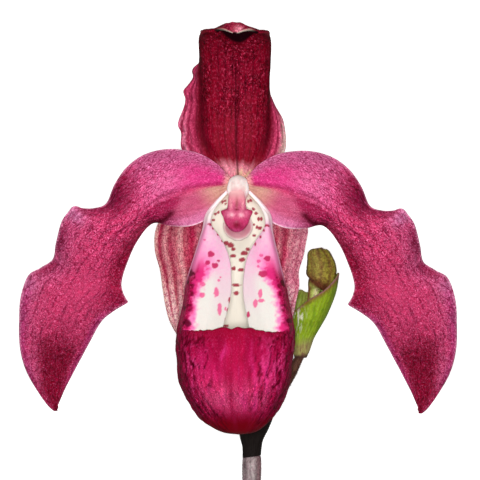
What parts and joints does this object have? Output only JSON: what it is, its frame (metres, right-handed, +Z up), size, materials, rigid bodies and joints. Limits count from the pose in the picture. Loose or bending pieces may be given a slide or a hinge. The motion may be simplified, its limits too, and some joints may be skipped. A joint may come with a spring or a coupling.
{
  "type": "phragmipedium orchid",
  "caption": "Cut slipper orchid bloom lying on its back: drooping waved petals, hooded dorsal sepal, pouched lip, and a bud in its bract on the stem.",
  "frame": {"origin": "on the table, at the bottom centre of the lying bloom's bounding box", "axes": "+Z up, the way the flower faces; +Y along the bloom from the stem's cut end to the tip of the dorsal sepal; +X to the right as the flower is seen from above, on the bud's side"},
  "size_m": [0.1094, 0.1642, 0.0509],
  "materials": {
    "petal": "satin, fine veins, crimson rose",
    "dorsal_sepal": "satin, deep wine red",
    "synsepal": "satin, pale pink with magenta veins",
    "lip": "waxy, magenta pouch, white side lobes with red spots",
    "column": "waxy, ivory",
    "staminode": "waxy, rose",
    "stem": "matte, brown purple over grey",
    "dark_bract": "matte, near black",
    "bud": "matte, olive",
    "bract": "satin, leaf green with a purple edge"
  },
  "bodies": {
    "root": {"petal_left": "petal", "petal_right": "petal", "dorsal_sepal": "dorsal_sepal", "synsepal": "synsepal", "lip": "lip", "column": "column", "staminode": "staminode", "ovary": "stem", "stem": "stem", "flower_bract": "dark_bract", "bud": "bud", "bud_bract": "bract"}
  },
  "joints": []
}
